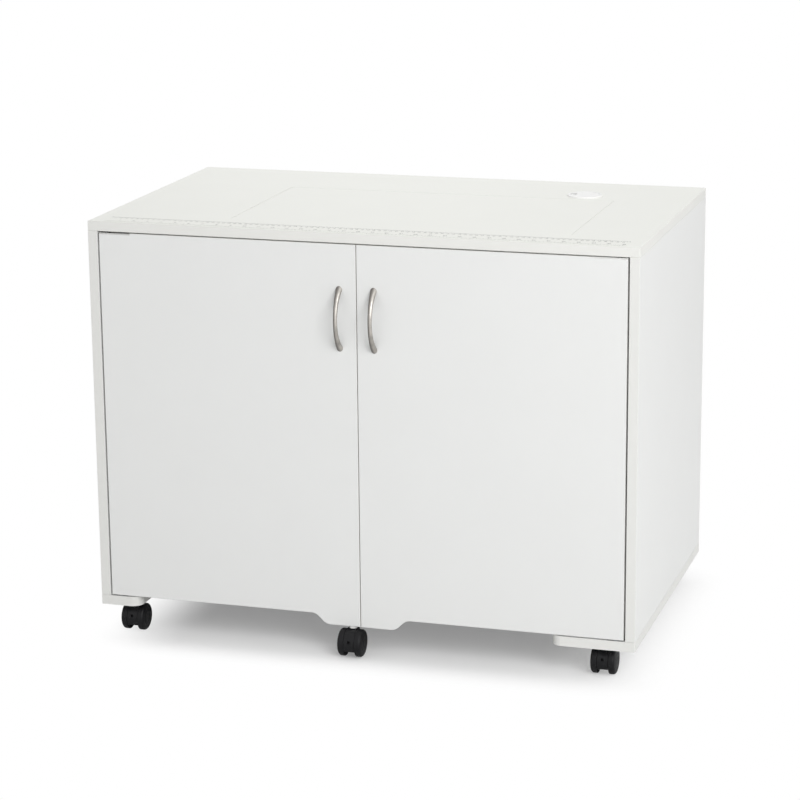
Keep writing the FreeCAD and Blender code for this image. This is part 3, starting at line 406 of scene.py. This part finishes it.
def pan_head(at, facing, radius):
    """A screw head as a height over a disc: a half-ellipse dome less a cross of two rounded bars.

    Rows run from the middle of the dome out to the rim, down to the seat and back in under it.
    """
    out = np.concatenate([np.linspace(0.0, 1.0, 18), [1.0, 0.0]])[:, None]
    turn = np.linspace(0.0, 2 * math.pi, 49)[None]
    x, y = out * np.cos(turn), out * np.sin(turn)
    bars = [np.clip((BAR_HALF_WIDTH - abs(p)) / BAR_SLOPE, 0.0, 1.0)
            * np.clip((BAR_REACH - abs(q)) / BAR_END, 0.0, 1.0) for p, q in ((x, y), (y, x))]
    dome = RIM_SHARE + (1.0 - RIM_SHARE) * np.sqrt(1.0 - out ** 2)
    height = PAN_HEIGHT * dome - RECESS_DEPTH * np.maximum(*bars)
    height[-2:] = 0.0
    facing = np.array(facing, float)
    first = np.array((0.0, 1.0, 0.0) if abs(facing[0]) > 0.5 else (1.0, 0.0, 0.0))
    second = np.cross(facing, first)
    disc = radius * (x[..., None] * first + y[..., None] * second)
    points = np.array(at) + disc + height[..., None] * facing
    return points.reshape(-1, 3), grid_faces(*points.shape[:2])


post_low, post_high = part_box("guide_posts")
flange_low, flange_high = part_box("post_flanges")
foot_low, foot_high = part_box("gas_spring_foot")
plate_low, plate_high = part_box("carriage_plate")
POST_RADIUS = (post_high.y - post_low.y) / 2
FLANGE_THICKNESS, FLANGE_SCREW_CIRCLE, FOOT_SCREW_INSET = 0.004, 0.022, 0.009
CARRIAGE_SCREW_RISE, LIFT_SCREW, HEAD_CREASE = 0.022, 0.0042, 30.0
post_y = (post_low.y + post_high.y) / 2
posts_x = (post_low.x + POST_RADIUS, post_high.x - POST_RADIUS)
turns = [math.radians(angle) for angle in (30.0, 150.0, 270.0)]
circle = [(FLANGE_SCREW_CIRCLE * math.cos(turn), FLANGE_SCREW_CIRCLE * math.sin(turn)) for turn in turns]
fixed = [pan_head((x + across, post_y + deep, z), (0.0, 0.0, way), LIFT_SCREW)
         for x in posts_x for across, deep in circle
         for z, way in ((flange_low.z + FLANGE_THICKNESS, 1.0), (flange_high.z - FLANGE_THICKNESS, -1.0))]
fixed += [pan_head((x, y, foot_high.z), (0.0, 0.0, 1.0), LIFT_SCREW)
          for x in (foot_low.x + FOOT_SCREW_INSET, foot_high.x - FOOT_SCREW_INSET)
          for y in (foot_low.y + FOOT_SCREW_INSET, foot_high.y - FOOT_SCREW_INSET)]
join("lift_fixing_screws", fixed, zinc, "carcass", HEAD_CREASE)
plate_z = (plate_low.z + plate_high.z) / 2
join("carriage_screws", [pan_head((x, plate_low.y, plate_z + way * CARRIAGE_SCREW_RISE), (0.0, -1.0, 0.0),
                                  LIFT_SCREW) for x in posts_x for way in (-1.0, 1.0)],
     zinc, "lift", HEAD_CREASE)

# Door handles: cast bows with a satin nickel finish, with painted shade on the sides that face away from the
# front and the right, where the light comes from. Two screws, driven through the door from behind, hold each.
# The direction given to these handles paints shade on their sides that face away from the front and the
# right; their dark colour is that painted shade as well as tarnish.
satin_nickel = skin("satin nickel", metal,
                    {"Base": (0.60, 0.57, 0.53, 1.0), "Dull And Shade": (0.20, 0.188, 0.175, 1.0), "Gloss": 0.36,
                     "Stretch": UPRIGHT_BRUSHING, "Lit Direction": (0.707, -0.707, 0.0)},
                    METAL_RELIEF, Metallic=1.0)
dress(("left_handle", "right_handle"), satin_nickel)
dress(("left_handle_screws", "right_handle_screws"), zinc)
HANDLE_SCREW = 0.0044
for side in ("left", "right"):
    low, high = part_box(f"{side}_handle_screws")
    x = (low.x + high.x) / 2
    heights = (low.z + HANDLE_SCREW, high.z - HANDLE_SCREW)
    join(f"{side}_handle_screw_heads",
         [pan_head((x, high.y, z), (0.0, 1.0, 0.0), HANDLE_SCREW) for z in heights],
         zinc, f"{side}_leaf", HEAD_CREASE)

# Door pivots: enamelled plates let into the doors' top edges, each with a steel pin that turns in the top,
# and zinc plated ones with pins in the base. All of an upper pivot that stands over a set height on its
# plate, the pin and the plate's upper edge, is painted near black as the shade in the gap over the door. The
# left upper plate is painted a darker grey than the right as painted shade, so that its front edge shows as a
# thicker dark line over the door's outer corner.
# Painted shade: this near black, given to the pins and plate edges over the plate's top, stands in for the
# shade in the gap and is not a colour of the steel.
PIVOT_GAP_SHADE = (0.030, 0.029, 0.028, 1.0)


def pivot_skin():
    """Enamel on the plate, and near black painted shade on all that stands over the plate's top, both faintly
    grained.
    """
    tree, given, out = new_group("pivot skin", {"Plate": "Color", "Gap Shade": "Color", "Plate Top": "Float"},
                                 SKIN_OUTPUTS)
    place = add_node(tree, "ShaderNodeTexCoord").outputs["Object"]
    height = add_node(tree, "ShaderNodeSeparateXYZ", {0: place}).outputs["Z"]
    grain = noise(tree, place, 700.0, 3.0)
    above = calc(tree, "GREATER_THAN", height, given["Plate Top"])
    feed(tree, out, {"Colour": mix_colours(tree, above, given["Plate"], given["Gap Shade"]),
                     "Roughness": ramp(tree, grain, 0.2, 0.8, 0.34, 0.42), "Height": grain})
    return tree


pivot = pivot_skin()
PLATE_REACH = 0.0021
# The left plate's darker grey is painted shade, for the thicker dark line over the left door's corner; the
# right plate's grey is the enamel's own.
for side, grey in (("left", 0.60), ("right", 0.74)):
    plate_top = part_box(f"{side}_door_pivot")[0].z + PLATE_REACH
    dress((f"{side}_door_pivot",),
          skin(f"{side} pivot", pivot,
               {"Plate": (grey, grey, grey * 0.98, 1.0), "Gap Shade": PIVOT_GAP_SHADE, "Plate Top": plate_top},
               METAL_RELIEF))
dress(("base_pivots",), zinc)

# Door catches: white moulded magnet cases under the front rail, and zinc plated strike plates fixed to the
# backs of the doors, where the magnets meet them.
dress(("door_catches",), white_plastic)
dress(("left_strike_plate", "right_strike_plate"), zinc)

# Caster mounts: zinc plated plates screwed under the base, and a white moulded socket under the left door
# that takes a plated stem. Every caster turns its wheels on a plated axle.
CASTERS = ("front_left", "front_right", "rear_left", "rear_right", "door")
dress(("door_caster_socket",), white_plastic)
dress(("caster_plates", "caster_screws", "door_caster_stem"), zinc)
dress([f"{name}_caster_axle" for name in CASTERS], zinc)

# Caster hoods: black nylon mouldings between the wheels. Each swivels on its stem and carries the axle, and
# has a small window in front.
black_nylon = skin("black nylon", moulded,
                   {"Base": (0.007, 0.007, 0.008, 1.0), "Worn": (0.014, 0.014, 0.015, 1.0), "Gloss": 0.40},
                   PLASTIC_RELIEF, **{"Specular IOR Level": 0.22})
dress([f"{name}_caster_hood" for name in CASTERS], black_nylon)

# Caster wheels: nylon, turned in a mould, with a rounded shoulder, a slightly domed outer face and two
# shallow rings about the middle. Each pair is pressed on its axle.
black_wheel = skin("black wheel", moulded,
                   {"Base": (0.006, 0.006, 0.007, 1.0), "Worn": (0.012, 0.012, 0.013, 1.0), "Gloss": 0.44},
                   PLASTIC_RELIEF, **{"Specular IOR Level": 0.22})
WHEEL_GAP, WHEEL_CREASE = 0.0200, 35.0


def wheel_outline(radius, width):
    """Half of a wheel's section, from the middle of its inner face over the tread to that of its outer face.

    The outer face is a parabola with two narrow bell-shaped rings sunk in it, and a quarter of an ellipse
    joins it to the tread. Pairs are the distance from the inner face and from the axle.
    """
    inner_round, shoulder, dome = 0.0010, 0.0058, 0.0011
    ring_depth, ring_width, ring_shares = 0.0005, 0.0007, (0.62, 0.30)
    quarter = np.linspace(0.0, math.pi / 2, 10)
    inner = np.stack([np.zeros(4), np.linspace(0.0, radius - inner_round, 4)], -1)
    corner = np.stack([inner_round * (1 - np.cos(quarter)), radius - inner_round * (1 - np.sin(quarter))], -1)
    edge = np.stack([width - shoulder + (shoulder - dome) * np.sin(quarter),
                     radius - shoulder * (1 - np.cos(quarter))], -1)
    away = np.linspace(radius - shoulder, 0.0, 56)[1:]
    rings = sum(np.exp(-((away - share * radius) / ring_width) ** 2) for share in ring_shares)
    face = np.stack([width - dome * (away / (radius - shoulder)) ** 2 - ring_depth * rings, away], -1)
    return np.concatenate([inner, corner[1:], edge, face])


def lathe(outline, middle, sign):
    """An outline turned about the X axis through a point, its first value going out to one side."""
    turn = np.linspace(0.0, 2 * math.pi, 73)
    sideways, away = outline[:, :1], outline[:, 1:]
    points = np.stack([np.broadcast_to(middle.x + sign * sideways, (len(outline), len(turn))),
                       middle.y + away * np.cos(turn), middle.z + away * np.sin(turn)], -1)
    return points.reshape(-1, 3), grid_faces(len(outline), len(turn))


for name in CASTERS:
    low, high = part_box(f"{name}_caster_wheels")
    middle = (low + high) / 2
    outline = wheel_outline(middle.z - low.z, high.x - middle.x - WHEEL_GAP / 2) + (WHEEL_GAP / 2, 0.0)
    wheels = join(f"{name}_wheels", [lathe(outline, middle, sign) for sign in (-1.0, 1.0)], black_wheel,
                  f"{name}_wheelset", WHEEL_CREASE)
    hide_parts(f"{name}_caster_wheels")

# Studio floor: matt pale paint on a flat ground just under the wheels. It keeps the shadow under the
# cabinet and goes over to white around it.
FLOOR_HALF, FLOOR_DROP, FLOOR_LINES = 6.0, 0.0002, 25
FLOOR_SEEN, FLOOR_GLOW = (0.75, 0.75, 0.75, 1.0), 0.24
PURE_WHITE = (1.0, 1.0, 1.0, 1.0)
SHADOW_MIDDLE = (0.022, 0.010, 0.0)
SHADOW_HALF = (0.350, 0.295, 1.0)
SHADOW_SOFTNESS = (0.5, 1.0, 1.0)
SHADOW_FADE = 0.09


def floor_material():
    """Matt pale paint, faintly clouded, that goes over to plain white for the eye around the shadow.

    The share of white follows the distance from a rectangle: the length of what the place's offsets from its
    middle are more than its half sizes, with the sideways part halved so that the fade is softer there.
    """
    material = bpy.data.materials.new("studio floor")
    material.use_nodes = True
    tree = material.node_tree
    place = add_node(tree, "ShaderNodeTexCoord").outputs["Object"]
    clouds = noise(tree, place, 3.0, 3.0)
    ray = add_node(tree, "ShaderNodeLightPath").outputs["Is Camera Ray"]
    pale = mix_colours(tree, ramp(tree, clouds, 0.3, 0.7, 0.0, 0.05), (0.86, 0.86, 0.86, 1.0),
                       (0.83, 0.83, 0.83, 1.0))
    paint = add_node(tree, "ShaderNodeBsdfDiffuse", {"Color": mix_colours(tree, ray, pale, FLOOR_SEEN)})
    glow = add_node(tree, "ShaderNodeEmission",
                    {"Color": PURE_WHITE, "Strength": calc(tree, "MULTIPLY", ray, FLOOR_GLOW)})
    lit = add_node(tree, "ShaderNodeAddShader", {0: paint.outputs[0], 1: glow.outputs[0]})
    way = place
    nothing = (0.0, 0.0, 0.0)
    for operation, value in (("SUBTRACT", SHADOW_MIDDLE), ("ABSOLUTE", nothing), ("SUBTRACT", SHADOW_HALF),
                             ("MAXIMUM", nothing), ("MULTIPLY", SHADOW_SOFTNESS)):
        way = add_node(tree, "ShaderNodeVectorMath", {0: way, 1: value}, operation=operation).outputs[0]
    away = add_node(tree, "ShaderNodeVectorMath", {0: way}, operation="LENGTH").outputs["Value"]
    white = add_node(tree, "ShaderNodeEmission", {"Color": PURE_WHITE, "Strength": 1.0})
    share = calc(tree, "MULTIPLY", ramp(tree, away, 0.0, SHADOW_FADE), ray)
    both = add_node(tree, "ShaderNodeMixShader", {0: share, 1: lit.outputs[0], 2: white.outputs[0]})
    feed(tree, tree.nodes["Material Output"], {"Surface": both.outputs[0]})
    return material


floor_mesh = bpy.data.meshes.new("floor")
span = np.linspace(-FLOOR_HALF, FLOOR_HALF, FLOOR_LINES)
across, deep = np.meshgrid(span, span)
floor_points = np.stack([across, deep, np.full_like(across, -FLOOR_DROP)], -1).reshape(-1, 3)
floor_mesh.from_pydata(floor_points.tolist(), [], grid_faces(FLOOR_LINES, FLOOR_LINES).tolist())
floor = bpy.data.objects.new("floor", floor_mesh)
floor_mesh.materials.append(floor_material())
bpy.context.scene.collection.objects.link(floor)

# Studio light: a white surround and large soft boxes, the strongest in front on the right. One above lifts
# the top, and one beside the cabinet its right side.


def lamp(name, place, target, size, power):
    """A square soft box that faces a target."""
    light = bpy.data.lights.new(name, "AREA")
    light.shape = "SQUARE"
    light.size = size
    light.energy = power
    holder = bpy.data.objects.new(name, light)
    holder.location = place
    holder.rotation_euler = (Vector(target) - Vector(place)).to_track_quat("-Z", "Y").to_euler()
    bpy.context.scene.collection.objects.link(holder)


lamp("key_right", (2.6, -3.0, 2.5), (0.0, 0.0, 0.4), 2.4, 100.5)
lamp("fill_left", (-2.6, -3.2, 2.2), (0.0, 0.0, 0.4), 2.4, 6.5)
lamp("overhead", (-0.25, 0.75, 2.3), (-0.15, 0.30, 0.7), 1.0, 9.0)
lamp("side_right", (3.6, 0.4, 0.8), (0.4, 0.1, 0.2), 1.6, 11.5)

SURROUND_LIGHT, SURROUND_SEEN = 0.51, 1.0
world = bpy.data.worlds.new("surround")
bpy.context.scene.world = world
world.use_nodes = True
sky = world.node_tree
rays = add_node(sky, "ShaderNodeLightPath").outputs
seen = calc(sky, "MAXIMUM", calc(sky, "MAXIMUM", rays["Is Camera Ray"], rays["Is Glossy Ray"]),
            rays["Is Transmission Ray"])
strength = ramp(sky, seen, 0.0, 1.0, SURROUND_LIGHT, SURROUND_SEEN)
feed(sky, sky.nodes["Background"], {"Color": PURE_WHITE, "Strength": strength})

# Camera: a long lens a little to the right of the cabinet and above it, very slightly turned about its own
# axis. Its place is measured from the top panel's front edge and upper face.
AZIMUTH, ELEVATION, ROLL = (math.radians(angle) for angle in (17.0, 14.47, -0.54))
CAMERA_RIGHT, CAMERA_FRONT, CAMERA_RISE = 1.34995, 4.16779, 0.84178
look = Vector((-math.sin(AZIMUTH) * math.cos(ELEVATION), math.cos(AZIMUTH) * math.cos(ELEVATION),
               -math.sin(ELEVATION)))
level = Vector((math.cos(AZIMUTH), math.sin(AZIMUTH), 0.0))
rise = level.cross(look)
right = level * math.cos(ROLL) + rise * math.sin(ROLL)
up = rise * math.cos(ROLL) - level * math.sin(ROLL)
top_low, top_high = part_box("top_panel")
camera = bpy.data.objects.new("camera", bpy.data.cameras.new("camera"))
camera.data.sensor_width = 36.0
camera.data.lens = 119.41
camera.data.clip_end = 60.0
camera.matrix_world = Matrix((right, up, -look)).transposed().to_4x4()
camera.location = (CAMERA_RIGHT, top_low.y - CAMERA_FRONT, top_high.z + CAMERA_RISE)
bpy.context.scene.collection.objects.link(camera)
scene = bpy.context.scene
scene.camera = camera
scene.view_settings.view_transform = "Standard"
